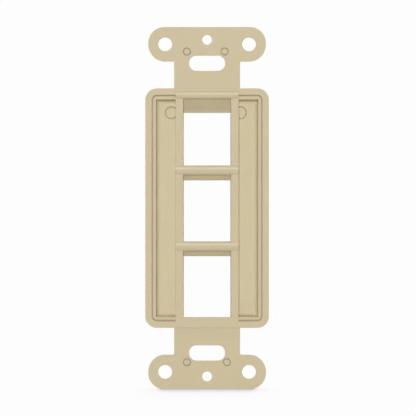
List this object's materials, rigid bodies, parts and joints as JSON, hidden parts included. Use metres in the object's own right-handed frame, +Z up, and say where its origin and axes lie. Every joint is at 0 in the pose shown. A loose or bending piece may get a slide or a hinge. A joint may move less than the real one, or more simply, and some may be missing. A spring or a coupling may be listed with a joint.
{
  "type": "keystone faceplate",
  "caption": "Moulded decorator-style insert with a column of snap-in jack ports, a stepped hollow rear and slotted, eared mounting tabs at its ends.",
  "frame": {"origin": "middle of the two box screw slots, on the strap's rear face", "axes": "+Z up the strap, +Y out of the wall through the front face, +X to the right seen from behind"},
  "size_m": [0.0356, 0.009, 0.104],
  "materials": {
    "moulding": "fine satin moulded ivory plastic"
  },
  "bodies": {
    "root": {"keystone_insert": "moulding"}
  },
  "joints": []
}
